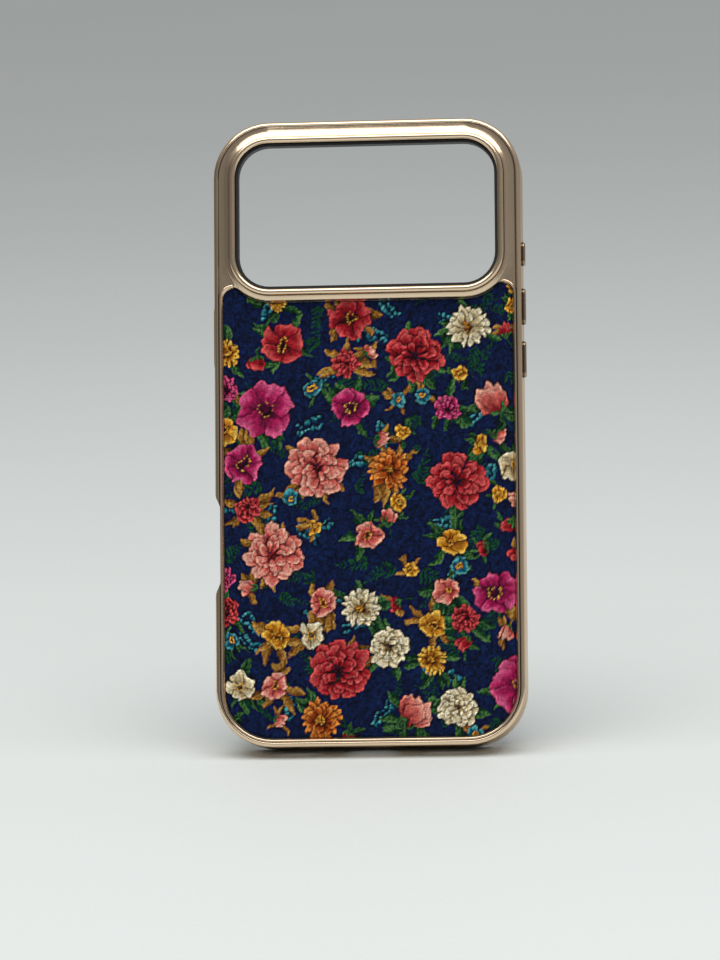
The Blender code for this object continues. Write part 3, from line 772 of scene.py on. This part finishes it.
def make_lining():
    """The napped lining on the floor of the tray, with its hole round the camera window."""
    low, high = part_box("microfibre_lining")
    outer, hole = face_outlines("microfibre_lining", high.y)
    across = np.arange(low.x, high.x, LINING_STEP)
    up = np.arange(low.z, high.z, LINING_STEP)
    inner = np.stack(np.meshgrid(across, up), axis=2).reshape(-1, 2)
    clear = inside_outline(inner, outer) & ~inside_outline(inner, hole)
    for outline in (outer, hole):
        clear &= distance_to_outline(inner, outline) > LINING_STEP / 2
    points = outer + hole + [tuple(place) for place in inner[clear]]
    first_hole = len(outer)
    edges = [(i, (i + 1) % first_hole) for i in range(first_hole)]
    edges += [(first_hole + i, first_hole + (i + 1) % len(hole)) for i in range(len(hole))]
    flat_places = [Vector(place) for place in points]
    flat_points, _, triangles, *_ = delaunay_2d_cdt(flat_places, edges, [], 1, WELD_DISTANCE)
    middles = np.array([[sum(flat_points[v][axis] for v in t) / 3 for axis in (0, 1)] for t in triangles])
    keep = inside_outline(middles, outer) & ~inside_outline(middles, hole)
    builder = bmesh.new()
    corners = [builder.verts.new((p.x, high.y, p.y)) for p in flat_points]
    for triangle, kept in zip(triangles, keep):
        if kept:
            builder.faces.new([corners[v] for v in triangle])
    bmesh.ops.delete(builder, geom=[v for v in builder.verts if not v.link_faces], context="VERTS")
    mesh = bpy.data.meshes.new("lining_cloth")
    made = bmesh.ops.extrude_face_region(builder, geom=builder.faces[:])
    for item in made["geom"]:
        if isinstance(item, bmesh.types.BMVert):
            item.co.y = low.y
    bmesh.ops.recalc_face_normals(builder, faces=builder.faces)
    builder.to_mesh(mesh)
    builder.free()
    lining = new_piece("lining_cloth", mesh, napped_cloth("lining_fabric"), "case", "lining_fabric",
                       "microfibre_lining")
    area = outline_area(outer) - outline_area(hole)


def make_rigid_pieces():
    """The plated and moulded nodes, with smooth shading and their own finishes."""
    frame_finish = plating("frame_plating", CHAMPAGNE, 0.14)
    # The ring's plating is a slightly lighter copy of the frame's: painted light.
    lit_ring_finish = plating("ring_plating", CHAMPAGNE * RING_PAINTED_LIGHT, 0.12)
    # The keys' plating is a darker copy of the frame's: painted shade.
    shaded_key_finish = plating("key_plating", CHAMPAGNE * KEY_PAINTED_SHADE, 0.18)
    sleeve_finish = soft_rubber("sleeve_rubber", linear(26, 26, 27), 0.58, 0.00035)
    pad_finish = soft_rubber("pad_rubber", linear(48, 48, 50), 0.66, 0.00025)
    smooth_piece("bumper_frame", "case", "frame_plating", frame_finish)
    smooth_piece("camera_ring", "case", "ring_plating", lit_ring_finish)
    smooth_piece("inner_sleeve", "case", "sleeve_rubber", sleeve_finish)
    smooth_piece("back_board", "case", "board_plastic", board_plastic("board_plastic"))
    for body, members in frame["record"]["behaviour"]["bodies"].items():
        for node in members:
            if node.endswith("_key"):
                smooth_piece(node, body, "key_plating", shaded_key_finish)
            elif node.endswith("_key_pad"):
                smooth_piece(node, body, "pad_rubber", pad_finish)


def make_floor():
    """A wide pale floor that just touches the case's lowest edge."""
    lowest = min(FLOOR_UP.dot(vertex.co) for vertex in frame["nodes"]["bumper_frame"].data.vertices)
    mesh = bpy.data.meshes.new("floor")
    half = FLOOR_SIZE / 2
    corners = [(-half, -half, 0), (half, -half, 0), (half, half, 0), (-half, half, 0)]
    mesh.from_pydata(corners, [], [(0, 1, 2, 3)])
    mesh.materials.append(pale_floor("floor"))
    floor = bpy.data.objects.new("floor", mesh)
    bpy.context.scene.collection.objects.link(floor)
    floor.matrix_world = Matrix.Translation(FLOOR_UP * lowest) @ Matrix.Rotation(FLOOR_TILT, 4, "X")


def make_ceiling():
    """A wide soft light that faces straight down and reaches ahead of the case."""
    data = bpy.data.lights.new("ceiling", "AREA")
    data.shape = "RECTANGLE"
    data.size, data.size_y = CEILING_SIZE
    data.energy = CEILING_POWER
    data.color = CEILING_COLOUR
    ceiling = bpy.data.objects.new("ceiling", data)
    ceiling.location = FLOOR_UP * CEILING_HEIGHT + FLOOR_AHEAD * CEILING_AHEAD
    ceiling.rotation_euler = (-FLOOR_UP).to_track_quat("-Z", "Y").to_euler()
    bpy.context.scene.collection.objects.link(ceiling)


def make_room():
    """World light that grows from left to right and upwards."""
    world = bpy.data.worlds.new("room")
    bpy.context.scene.world = world
    world.use_nodes = True
    nodes = world.node_tree.nodes
    links = world.node_tree.links
    view = nodes.new("ShaderNodeTexCoord")
    parts = nodes.new("ShaderNodeSeparateXYZ")
    links.new(view.outputs["Generated"], parts.inputs["Vector"])
    mixes = []
    for axis, (low, high), bright in (("X", ROOM_SIDE_SPAN, ROOM_RIGHT), ("Z", ROOM_ABOVE_SPAN, ROOM_ABOVE)):
        ramp = nodes.new("ShaderNodeMapRange")
        ramp.inputs["From Min"].default_value = low
        ramp.inputs["From Max"].default_value = high
        mix = nodes.new("ShaderNodeMix")
        mix.data_type = "RGBA"
        mix.inputs[7].default_value = (*bright, 1.0)
        links.new(parts.outputs[axis], ramp.inputs["Value"])
        links.new(ramp.outputs["Result"], mix.inputs["Factor"])
        mixes.append(mix)
    sides, above = mixes
    sides.inputs[6].default_value = (*ROOM_LEFT, 1.0)
    links.new(sides.outputs[2], above.inputs[6])
    links.new(above.outputs[2], nodes["Background"].inputs["Color"])


def make_camera():
    data = bpy.data.cameras.new("camera")
    data.sensor_width = SENSOR_WIDTH
    data.lens = CAMERA_FOCAL_PIXELS * SENSOR_WIDTH / FRAME_LONG_SIDE
    data.clip_start, data.clip_end = CAMERA_CLIP
    camera = bpy.data.objects.new("camera", data)
    turn = Matrix.Rotation(math.radians(CAMERA_HEADING), 4, "Z")
    climb = Matrix.Rotation(math.radians(90 + CAMERA_CLIMB), 4, "X")
    roll = Matrix.Rotation(math.radians(CAMERA_ROLL), 4, "Z")
    camera.matrix_world = Matrix.Translation(CAMERA_PLACE) @ turn @ climb @ roll
    bpy.context.scene.collection.objects.link(camera)
    bpy.context.scene.camera = camera


bpy.context.scene.view_settings.view_transform = "Standard"
make_camera()
make_rigid_pieces()
make_fabric()
make_lining()
make_floor()
make_ceiling()
make_room()
